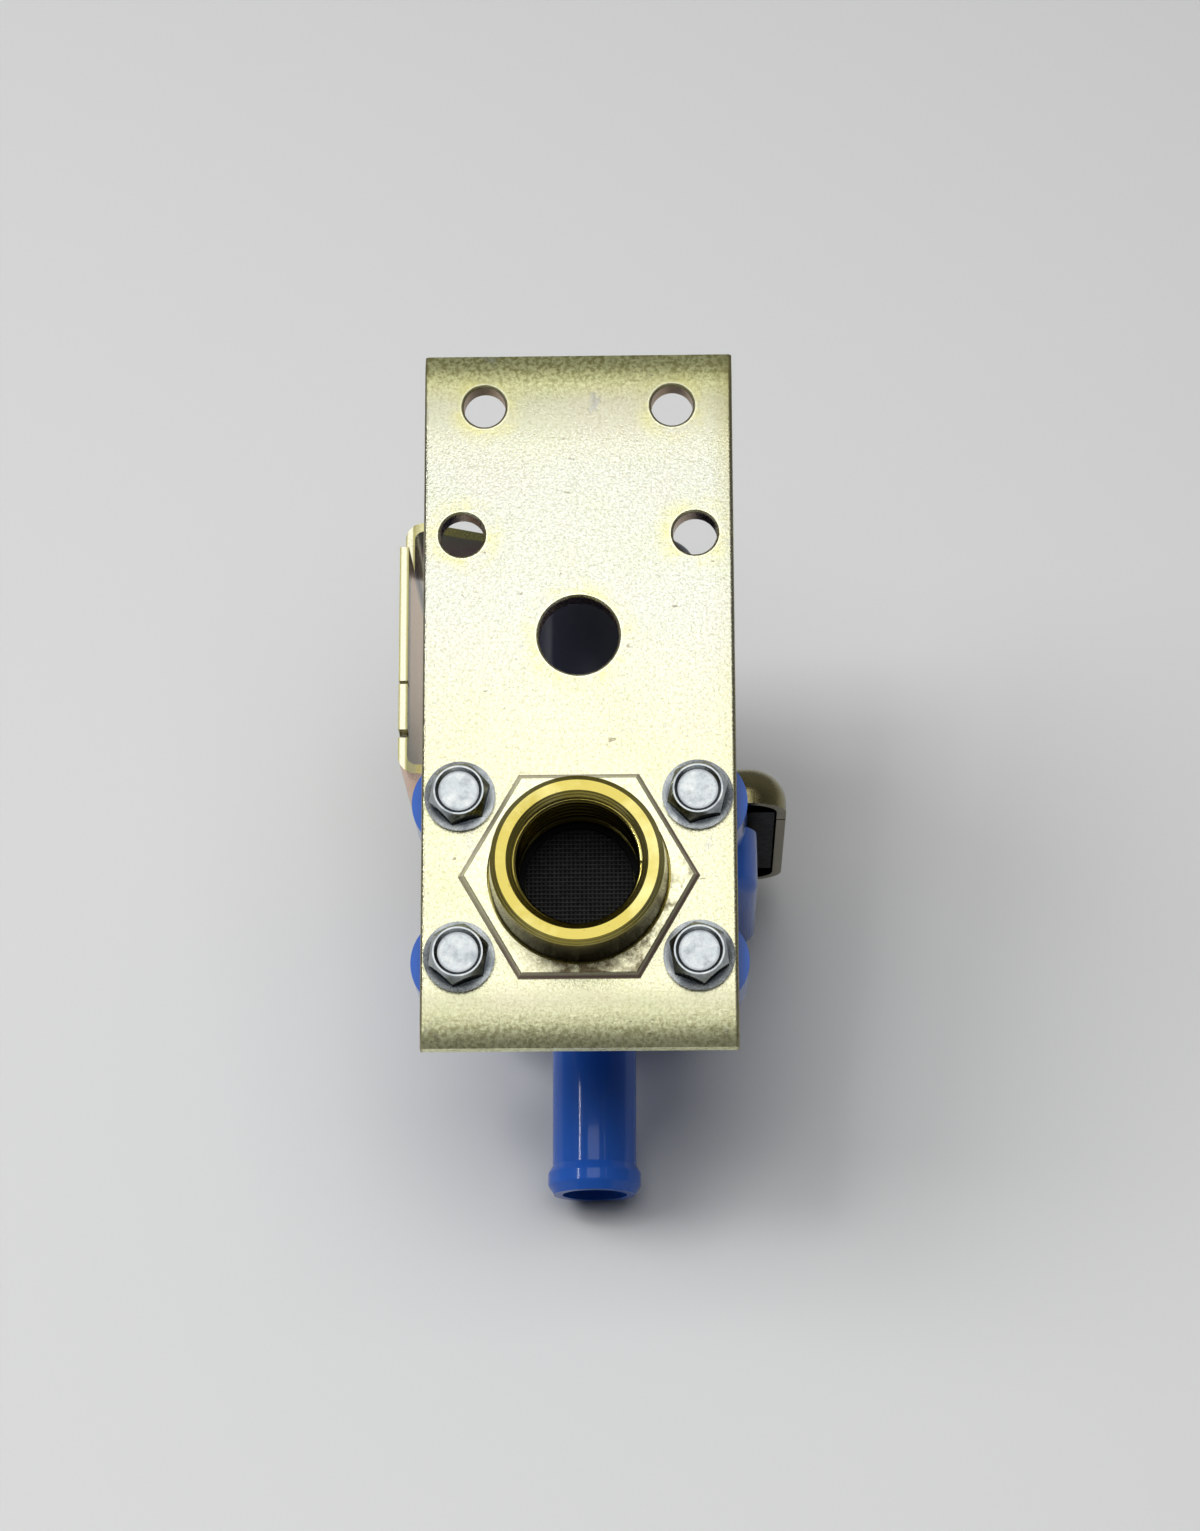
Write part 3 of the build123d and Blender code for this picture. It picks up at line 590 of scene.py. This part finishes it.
def bracket_chromate():
    """Pale chromate of the bracket, yellower at its ends and round the holes; its whiter middle is a painted
    highlight of the glare, with painted light and shade on the hexagon and a painted highlight on the holes'
    rims.
    """
    paint = Finish("bracket_chromate")
    x, y, z = paint.locate()
    raised = paint.ramp(y, RAISED_FACE, FADE)
    bevel = paint.window(y, RAISED_FACE, BEVEL_BACK)
    warm = paint.tint((0.70, 0.69, 0.49), (0.62, 0.65, 0.38), (0.70, 0.62, 0.48), scale=80.0, amount=0.6)
    pale = paint.tint((0.65, 0.66, 0.57), (0.61, 0.65, 0.47), (0.66, 0.62, 0.55), scale=90.0, amount=0.5)
    # Painted highlight: the pale tint in the middle stands for the white glare over the yellow chromate
    paint.colour = paint.mix(paint.window(z, PALE_START, PALE_END), warm, pale)
    bracket_ends(paint, x, z)
    rim = hole_distance(paint, x, z)
    hole_rings(paint, rim)
    wear_marks(paint)
    hexagon_reflection_and_blotches(paint, x, z, raised)
    # The bevel's own purple-brown tint is laid thinner near the raised face and at the upper left, heavier
    # at its foot and the lower right: painted light and shade
    bevel_shade = paint.ramp(paint.maths("SUBTRACT", x, z), BEVEL_SHADE_CORNER, (0.5, 1.0))
    edge = paint.product(bevel, paint.ramp(y, BEVEL_FOOT, (0.45, 1.0)), bevel_shade)
    paint.lay(edge, (0.24, 0.165, 0.14))
    paint.lay(paint.ramp(rim, HOLE_WALL, FADE), (0.28, 0.13, 0.11))
    speckle = paint.grain(3000.0, paint.ramp(raised, RISE, (0.28, 0.08)))
    ends = paint.maths("MAXIMUM", paint.ramp(z, ROUGH_BOTTOM, FADE), paint.ramp(z, ROUGH_TOP))
    polish = paint.maths("ADD", paint.ramp(speckle, RISE, (0.20, 0.32)), paint.product(ends, 0.2))
    dull = paint.product(bevel, 0.7)
    paint.set("Roughness", paint.maths("MAXIMUM", polish, dull))
    paint.set("Metallic", paint.maths("SUBTRACT", 1.0, dull))
    return paint.done()


def web_inside(paint, x, y, z):
    """Tan inner side of the yoke's web, with painted shade at its top and a dark lip; returns a mask of the
    dark.
    """
    sheet = paint.window(x, WEB_INSIDE_START, WEB_INSIDE_END)
    inside = paint.product(sheet, paint.ramp(z, WEB_INSIDE_TOP, FADE))
    paint.lay(inside, (0.66, 0.42, 0.20))
    # Painted shade: the top of the web's inner side, under the bend, is darkened
    top_shade = paint.product(inside, paint.ramp(z, WEB_TOP_SHADE, (0.0, 0.9)))
    paint.lay(top_shade, (0.07, 0.035, 0.035))
    lip = paint.product(inside, paint.ramp(y, WEB_LIP, (0.9, 0.0)))
    paint.lay(lip, (0.12, 0.10, 0.02))
    return paint.maths("MAXIMUM", top_shade, lip)


def web_edge_light(paint, x, normal_y):
    """Painted highlight on the front edge of the yoke's web, between two dark lines of painted shade along
    its rounded corners.
    """
    # Painted highlight on the edge, then painted shade along both its sides
    strip = paint.product(paint.ramp(normal_y, FRONT_FACING), paint.ramp(x, STRIP_END, (0.85, 0.0)))
    paint.lay(strip, (0.59, 0.57, 0.45))
    lines = paint.maths("MAXIMUM", paint.ramp(x, STRIP_OUTER_LINE, FADE), paint.ramp(x, STRIP_INNER_LINE))
    paint.lay(paint.product(strip, lines), (0.22, 0.20, 0.05))


def yoke_chromate():
    """Deeper gold chromate of the yoke: tan inside the web, coppery under the floor, with painted shade at
    the hook and at the web's top and foot, and a painted highlight on the web's front edge.
    """
    paint = Finish("yoke_chromate")
    x, y, z = paint.locate()
    normal_y, normal_z = paint.facing()[1:]
    paint.tint((0.50, 0.48, 0.23), (0.40, 0.41, 0.15), (0.42, 0.36, 0.17), scale=75.0, amount=0.7)
    speckle = paint.rough_grain(3000.0, 0.12, (0.18, 0.30))
    paint.lay(paint.product(speckle, 0.25), (0.55, 0.48, 0.34), "MULTIPLY")
    web_dark = web_inside(paint, x, y, z)
    # Painted shade at the foot of the web, by its lower bend
    foot = paint.product(paint.ramp(z, WEB_FOOT_HEIGHT, (0.75, 0.0)), paint.ramp(x, WEB_FOOT_SIDE, FADE))
    paint.lay(foot, (0.26, 0.23, 0.08))
    under = paint.product(paint.ramp(z, FLOOR_UNDER, FADE), paint.ramp(normal_z, DOWN_LEANING))
    paint.lay(paint.product(under, paint.ramp(x, FLOOR_COPPER_END, FADE)), (0.72, 0.42, 0.26))
    # Painted shade: the hook on the right is darkened
    paint.lay(paint.ramp(x, HOOK_SIDE, (0.0, 0.8)), (0.16, 0.13, 0.065))
    tongue = paint.product(paint.ramp(normal_z, DOWN_FACING), paint.ramp(z, TONGUE_UNDER))
    paint.lay(tongue, paint.mix(paint.ramp(y, TONGUE_DEPTH), (0.28, 0.26, 0.06), (0.30, 0.08, 0.06)))
    matt = paint.maths("MAXIMUM", tongue, web_dark)
    paint.set("Metallic", paint.maths("SUBTRACT", 1.0, matt))
    paint.set("Specular IOR Level", paint.ramp(matt, RISE, (0.5, 0.05)))
    web_edge_light(paint, x, normal_y)
    return paint.done()


def turned_brass():
    """Brass with fine turning rings about the inlet axis, small pits and painted shade deep in its bore."""
    paint = Finish("turned_brass", metallic=1.0)
    paint.set("Roughness", 0.22)
    y = paint.locate()[1]
    normal_z = paint.facing()[2]
    paint.tint((0.42, 0.35, 0.085), (0.35, 0.29, 0.06), (0.58, 0.53, 0.23), scale=150.0, amount=0.9)
    pit = paint.specks(900.0, (0.66, 0.74))
    paint.lay(paint.product(pit, 0.5), (0.20, 0.14, 0.035))
    # Painted shade: deep in the bore and on its down-facing walls the brass is darkened
    inner = paint.ramp(paint.maths("SUBTRACT", y, NECK_FRONT), BORE_SHADE, (0.0, 0.85))
    paint.lay(paint.product(inner, paint.ramp(normal_z, BORE_LEANING)), (0.05, 0.042, 0.015))
    rings = paint.node("ShaderNodeTexWave", {"Vector": paint.place, "Scale": 900.0, "Distortion": 0.6})
    rings.wave_type = "RINGS"
    rings.rings_direction = "Y"
    paint.set("Normal", paint.bump(rings.outputs["Fac"], 0.12, RING_DEPTH))
    return paint.done()


def plain_metal(name, colour, roughness):
    """Plain metal with a light grain."""
    paint = Finish(name, metallic=1.0, colour=colour)
    paint.rough_grain(2400.0, 0.05, (roughness * 0.8, roughness * 1.3))
    return paint.done()


def screw_shade(paint):
    """Painted shadow at the foot of the hexagon, heavier below, and painted shade in the groove on top, on
    the one screw in each quarter.
    """
    x, y, z = paint.locate()
    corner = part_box("bracket_screws")[1]
    across = paint.maths("SUBTRACT", paint.maths("ABSOLUTE", x), corner[0] - FLANGE_RADIUS)
    along = paint.maths("SUBTRACT", paint.maths("ABSOLUTE", z), corner[2] - FLANGE_RADIUS)
    radius = paint.distance(across, along)
    ring = paint.window(radius, HEAD_FOOT_START, HEAD_FOOT_END)
    height = paint.product(paint.maths("SIGN", z), along)
    shade = paint.ramp(height, HEAD_SHADE_HEIGHT, (0.92, 0.3))
    # Painted shadow round the hexagon's foot, heaviest on its lower side
    foot = paint.product(ring, paint.ramp(y, HEAD_FOOT_LEVEL, (0.1, 1.0)), shade)
    paint.lay(foot, (0.04, 0.05, 0.06))
    # Painted shade in the groove on top
    groove = paint.window(radius, HEAD_GROOVE_START, HEAD_GROOVE_END)
    paint.lay(paint.product(groove, 0.6), (0.14, 0.15, 0.17))


def bright_zinc(name, shaded):
    """Blue-grey zinc with soft mottling; the bracket's screws get painted shade."""
    paint = Finish(name, metallic=1.0)
    paint.tint((0.36, 0.385, 0.395), (0.20, 0.22, 0.24), (0.46, 0.475, 0.465), scale=520.0, amount=1.0)
    if shaded:
        screw_shade(paint)
    paint.rough_grain(3200.0, 0.05, (0.18, 0.30))
    return paint.done()


def moulded(name, colour, roughness, bump=0.06, gloss=0.5):
    """Moulded plastic or rubber with a light grain."""
    paint = Finish(name, colour=colour)
    paint.set("Specular IOR Level", gloss)
    paint.rough_grain(1100.0, bump, roughness)
    return paint.done()


def finishes():
    """Every finish by name."""
    return {
        "bracket_chromate": bracket_chromate(),
        "yoke_chromate": yoke_chromate(),
        "turned_brass": turned_brass(),
        "bright_zinc": bright_zinc("bright_zinc", False),
        "screw_zinc_painted_shade": bright_zinc("screw_zinc_painted_shade", True),
        "stainless": plain_metal("stainless", (0.62, 0.62, 0.62), 0.26),
        "copper": plain_metal("copper", (0.80, 0.42, 0.24), 0.30),
        "tinned_brass": plain_metal("tinned_brass", (0.78, 0.74, 0.62), 0.25),
        "blue_nylon": moulded("blue_nylon", (0.020, 0.098, 0.44), (0.09, 0.12), bump=0.004, gloss=0.25),
        "black_nylon": moulded("black_nylon", (0.003, 0.003, 0.004), (0.45, 0.58), gloss=0.1),
        "white_nylon": moulded("white_nylon", (0.80, 0.80, 0.76), (0.40, 0.50)),
        "coil_resin": moulded("coil_resin", (0.012, 0.014, 0.036), (0.32, 0.42)),
        "screen_dark": moulded("screen_dark", (0.005, 0.005, 0.005), (0.55, 0.65), gloss=0.2),
        "screen_wire": plain_metal("screen_wire", (0.035, 0.035, 0.034), 0.45),
        "black_rubber": moulded("black_rubber", (0.012, 0.012, 0.012), (0.60, 0.75)),
    }


FINISHES = {}


def dress(obj, finish):
    """Give an object one finish."""
    obj.data.materials.clear()
    obj.data.materials.append(FINISHES[finish])


# Pieces made with Geometry Nodes

def node_tree(name, inputs):
    """New geometry tree with named inputs, its entry and its exit."""
    tree = bpy.data.node_groups.new(name, "GeometryNodeTree")
    identifiers = {}
    for label, kind, value in inputs:
        socket = tree.interface.new_socket(label, in_out="INPUT", socket_type=kind)
        socket.default_value = value
        identifiers[label] = socket.identifier
    tree.interface.new_socket("Geometry", in_out="OUTPUT", socket_type="NodeSocketGeometry")
    entry = tree.nodes.new("NodeGroupInput")
    leave = tree.nodes.new("NodeGroupOutput")
    return tree, identifiers, entry, leave


def close_tree(wiring, geometry, leave, finish):
    """End a tree in realized instances with a material."""
    real = wiring.node("GeometryNodeRealizeInstances", {"Geometry": geometry})
    inputs = {"Geometry": real.outputs["Geometry"], "Material": FINISHES[finish]}
    paint = wiring.node("GeometryNodeSetMaterial", inputs)
    wiring.link(paint.outputs["Geometry"], leave.inputs["Geometry"])


def bake_tree(name, tree, identifiers, values):
    """Run a tree on an empty mesh and keep the result as a plain mesh."""
    obj = bpy.data.objects.new(name, bpy.data.meshes.new(name))
    bpy.context.scene.collection.objects.link(obj)
    modifier = obj.modifiers.new(name, "NODES")
    modifier.node_group = tree
    for label, value in values.items():
        modifier[identifiers[label]] = value
    bpy.context.view_layer.update()
    result = bpy.data.meshes.new_from_object(obj.evaluated_get(bpy.context.evaluated_depsgraph_get()))
    obj.modifiers.remove(modifier)
    obj.data = result
    obj.data.name = name
    return obj


def thread_tree():
    """Helical ridge about the inlet axis."""
    tree, identifiers, entry, leave = node_tree(
        "inlet_thread_tree",
        [
            ("Turns", "NodeSocketFloat", 6.0),
            ("Radius", "NodeSocketFloat", 0.0093),
            ("Length", "NodeSocketFloat", 0.012),
            ("Height", "NodeSocketFloat", 0.0005),
            ("Front", "NodeSocketFloat", -0.01),
        ],
    )
    wiring = Wiring(tree)
    given = entry.outputs
    spiral = wiring.node("GeometryNodeCurveSpiral", {
        "Resolution": THREAD_STEPS,
        "Rotations": given["Turns"],
        "Start Radius": given["Radius"],
        "End Radius": given["Radius"],
        "Height": given["Length"],
    })
    ridge = wiring.node("GeometryNodeCurvePrimitiveCircle", {
        "Resolution": THREAD_SIDES,
        "Radius": given["Height"],
    })
    solid = wiring.node("GeometryNodeCurveToMesh", {
        "Curve": spiral.outputs["Curve"],
        "Profile Curve": ridge.outputs["Curve"],
        "Fill Caps": True,
    })
    turn = wiring.node("GeometryNodeTransform", {
        "Geometry": solid.outputs["Mesh"],
        "Rotation": (math.radians(-90), 0, 0),
        "Translation": wiring.joined(Y=given["Front"]),
    })
    close_tree(wiring, turn.outputs["Geometry"], leave, "turned_brass")
    return tree, identifiers


def weave_tree():
    """Row of parallel wires, cut to a disc by their own lengths."""
    tree, identifiers, entry, leave = node_tree(
        "screen_weave_tree",
        [
            ("Count", "NodeSocketInt", 20),
            ("Pitch", "NodeSocketFloat", 0.0006),
            ("Radius", "NodeSocketFloat", 0.008),
            ("Wire", "NodeSocketFloat", 0.0001),
            ("Sides", "NodeSocketInt", 6),
            ("Front", "NodeSocketFloat", 0.003),
            ("Turn", "NodeSocketFloat", 0.0),
        ],
    )
    wiring = Wiring(tree)
    given = entry.outputs
    half_count = wiring.product(wiring.maths("SUBTRACT", given["Count"], 1.0), 0.5)
    row = wiring.node("GeometryNodeMeshLine", {
        "Count": given["Count"],
        "Start Location": wiring.joined(X=wiring.product(half_count, given["Pitch"], -1.0)),
        "Offset": wiring.joined(X=given["Pitch"]),
    })
    wire = wiring.node("GeometryNodeMeshCylinder", {
        "Vertices": given["Sides"],
        "Radius": given["Wire"],
        "Depth": UNIT_WIRE,
    })
    across = wiring.parts(wiring.node("GeometryNodeInputPosition").outputs["Position"])[0]
    square = wiring.maths(
        "SUBTRACT",
        wiring.maths("POWER", given["Radius"], 2.0),
        wiring.maths("POWER", across, 2.0),
    )
    half_chord = wiring.maths("SQRT", wiring.maths("MAXIMUM", square, 0.0))
    place = wiring.node("GeometryNodeInstanceOnPoints", {
        "Points": row.outputs["Mesh"],
        "Instance": wire.outputs["Mesh"],
        "Scale": wiring.joined(X=1.0, Y=1.0, Z=half_chord),
    })
    turn = wiring.node("GeometryNodeTransform", {
        "Geometry": place.outputs["Instances"],
        "Rotation": wiring.joined(Y=given["Turn"]),
        "Translation": wiring.joined(Y=given["Front"]),
    })
    close_tree(wiring, turn.outputs["Geometry"], leave, "screen_wire")
    return tree, identifiers


class ValveFinishes(bpy.types.Operator):
    """Give every node of the valve its finish"""

    bl_idname = "valve.finishes"
    bl_label = "Valve finishes"

    def execute(self, context):
        FINISHES.update(finishes())
        for node, finish in FINISH_OF_NODE.items():
            dress(frame["nodes"][node], finish)
        return {"FINISHED"}


def soft_copy(node, name):
    """Copy of a soft node's mesh that stands for the node, which is hidden."""
    piece = bpy.data.objects.new(name, frame["nodes"][node].data.copy())
    bpy.context.scene.collection.objects.link(piece)
    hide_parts(node)
    return piece


class ValveSoftPieces(bpy.types.Operator):
    """Put copies of the spring and the diaphragm in place of their nodes, the spring hung on the parent body
    of the armature's lift
    """

    bl_idname = "valve.soft_pieces"
    bl_label = "Spring and diaphragm"

    def execute(self, context):
        lift = next(joint for joint in frame["joints"] if joint["name"] == "armature_lift")
        spring = soft_copy("armature_spring", "return_spring")
        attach(spring, lift["parent"])
        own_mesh(spring)
        lift = next(joint for joint in frame["joints"] if joint["name"] == "diaphragm_lift")
        membrane = soft_copy("diaphragm", "rubber_membrane")
        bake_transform(membrane)
        return {"FINISHED"}


class ValveInletThread(bpy.types.Operator):
    """Make the ridge of the inlet thread"""

    bl_idname = "valve.inlet_thread"
    bl_label = "Inlet thread"

    def execute(self, context):
        size = sizes()
        port = next(m for m in frame["record"]["mounts"] if m["name"] == "inlet_port")
        length = port["dims"]["length_mm"] * MM - 2 * size.thread_pitch
        tree, identifiers = thread_tree()
        thread = bake_tree("inlet_thread", tree, identifiers, {
            "Turns": length / size.thread_pitch,
            "Radius": port["dims"]["r_mm"] * MM,
            "Length": length,
            "Height": size.thread_height,
            "Front": NECK_FRONT + size.thread_pitch,
        })
        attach(thread, "valve")
        return {"FINISHED"}


class ValveScreenWeave(bpy.types.Operator):
    """Weave the wires of the inlet screen"""

    bl_idname = "valve.screen_weave"
    bl_label = "Screen weave"

    def execute(self, context):
        size = sizes()
        low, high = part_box("inlet_screen")
        radius = (high[0] - low[0]) / 2 - size.mesh_wire
        tree, identifiers = weave_tree()
        for name, turn, layer in WIRE_LAYERS:
            wires = bake_tree(name, tree, identifiers, {
                "Count": int(2 * radius / size.mesh_pitch),
                "Pitch": size.mesh_pitch,
                "Radius": radius,
                "Wire": size.mesh_wire,
                "Sides": size.wire_sides,
                "Front": low[1] - layer * size.mesh_wire,
                "Turn": turn,
            })
            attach(wires, "valve")
        return {"FINISHED"}


# Stage

def make_camera():
    """Camera at the photo's place."""
    forward = Vector((
        math.sin(CAMERA_TURN) * math.cos(CAMERA_RISE),
        math.cos(CAMERA_TURN) * math.cos(CAMERA_RISE),
        math.sin(CAMERA_RISE),
    ))
    right = Vector((math.cos(CAMERA_TURN), -math.sin(CAMERA_TURN), 0))
    down = forward.cross(right)
    rolled_right = math.cos(CAMERA_ROLL) * right + math.sin(CAMERA_ROLL) * down
    rolled_down = math.cos(CAMERA_ROLL) * down - math.sin(CAMERA_ROLL) * right
    turn = Matrix((rolled_right, -rolled_down, -forward)).transposed()
    data = bpy.data.cameras.new("photo_camera")
    data.sensor_fit = "AUTO"
    data.sensor_width = SENSOR
    data.lens = FOCAL_PIXELS / PHOTO_HEIGHT * SENSOR
    data.clip_start = CLIP_NEAR
    data.clip_end = CLIP_FAR
    camera = bpy.data.objects.new("photo_camera", data)
    camera.matrix_world = Matrix.Translation(CAMERA_PLACE) @ turn.to_4x4()
    bpy.context.scene.collection.objects.link(camera)
    bpy.context.scene.camera = camera


def make_light(softbox):
    """Soft light aimed at the valve."""
    data = bpy.data.lights.new(softbox.name, "AREA")
    data.shape = "RECTANGLE"
    data.size = softbox.width
    data.size_y = softbox.height
    data.energy = softbox.power
    light = bpy.data.objects.new(softbox.name, data)
    light.visible_glossy = softbox.mirrored
    light.visible_diffuse = softbox.lit
    light.location = softbox.place
    light.rotation_mode = "QUATERNION"
    light.rotation_quaternion = (Vector(LIGHT_AIM) - Vector(softbox.place)).to_track_quat("-Z", "Y")
    bpy.context.scene.collection.objects.link(light)


def table_finish():
    """Pale table that is clear when seen from its back."""
    paint = Finish("table_finish", colour=(0.575, 0.58, 0.575))
    paint.set("Roughness", 0.38)
    side = paint.node("ShaderNodeNewGeometry")
    clear = paint.node("ShaderNodeBsdfTransparent")
    mix = paint.node("ShaderNodeMixShader", {"Fac": side.outputs["Backfacing"]})
    paint.link(paint.shader.outputs["BSDF"], mix.inputs[1])
    paint.link(clear.outputs["BSDF"], mix.inputs[2])
    paint.link(mix.outputs["Shader"], paint.nodes["Material Output"].inputs["Surface"])
    return paint.done()


def make_table():
    """Tilted table behind the valve, touching the barb and the back of the body."""
    size = sizes()
    tilt = math.radians(size.table_tilt)
    along = Vector((0, math.sin(tilt), math.cos(tilt)))
    across = Vector((1, 0, 0))
    facing = across.cross(along)
    if facing.y > 0:
        facing = -facing
    deepest = min(
        facing.dot(obj.matrix_world @ vertex.co)
        for obj in frame["nodes"].values()
        for vertex in obj.data.vertices
    )
    middle = Vector(CAD_LOW).lerp(Vector(CAD_HIGH), 0.5)
    centre = middle + facing * (deepest - facing.dot(middle))
    half = size.table_half
    corners = [centre + across * half * a + along * half * b for a, b in TABLE_CORNERS]
    mesh = bpy.data.meshes.new("table")
    mesh.from_pydata(corners, [], [(0, 1, 2, 3)])
    if mesh.polygons[0].normal.dot(facing) < 0:
        mesh.flip_normals()
    mesh.materials.append(table_finish())
    table = bpy.data.objects.new("table", mesh)
    bpy.context.scene.collection.objects.link(table)


def make_world():
    """Dim surround, lighter above and behind than below the camera."""
    world = bpy.data.worlds.new("soft_surround")
    bpy.context.scene.world = world
    world.use_nodes = True
    wiring = Wiring(world.node_tree)
    y, z = wiring.parts(wiring.node("ShaderNodeTexCoord").outputs["Generated"])[1:]
    share = wiring.ramp(wiring.maths("ADD", z, y), SURROUND_SPAN)
    background = wiring.nodes["Background"]
    wiring.link(wiring.mix(share, (0.08, 0.08, 0.078), (0.42, 0.43, 0.44)), background.inputs["Color"])
    background.inputs["Strength"].default_value = SURROUND_STRENGTH


class ValveStage(bpy.types.Operator):
    """Set the table, the lights and the camera"""

    bl_idname = "valve.stage"
    bl_label = "Valve stage"

    def execute(self, context):
        make_table()
        make_world()
        for softbox in LIGHTS:
            make_light(softbox)
        make_camera()
        context.scene.view_settings.view_transform = "Standard"
        return {"FINISHED"}


class ValvePanel(bpy.types.Panel):
    """Sidebar panel of the valve"""

    bl_idname = "VALVE_PT_panel"
    bl_label = "Valve"
    bl_space_type = "VIEW_3D"
    bl_region_type = "UI"
    bl_category = "Valve"

    def draw(self, context):
        size = sizes()
        for name in ("thread_pitch", "thread_height", "mesh_pitch", "mesh_wire", "table_tilt"):
            self.layout.prop(size, name)
        for operator in (ValveFinishes, ValveSoftPieces, ValveInletThread, ValveScreenWeave, ValveStage):
            self.layout.operator(operator.bl_idname)


CLASSES = (
    ValveSizes, ValveFinishes, ValveSoftPieces, ValveInletThread, ValveScreenWeave, ValveStage, ValvePanel,
)


def register():
    """Add the valve's classes and sizes."""
    for cls in CLASSES:
        bpy.utils.register_class(cls)
    bpy.types.Scene.valve_sizes = PointerProperty(type=ValveSizes)


def unregister():
    """Remove the valve's classes and sizes."""
    del bpy.types.Scene.valve_sizes
    for cls in reversed(CLASSES):
        bpy.utils.unregister_class(cls)


def main():
    """Dress the valve."""
    register()
    bpy.ops.valve.finishes()
    bpy.ops.valve.soft_pieces()
    bpy.ops.valve.inlet_thread()
    bpy.ops.valve.screen_weave()
    bpy.ops.valve.stage()
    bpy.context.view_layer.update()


if __name__ == "__main__":
    main()
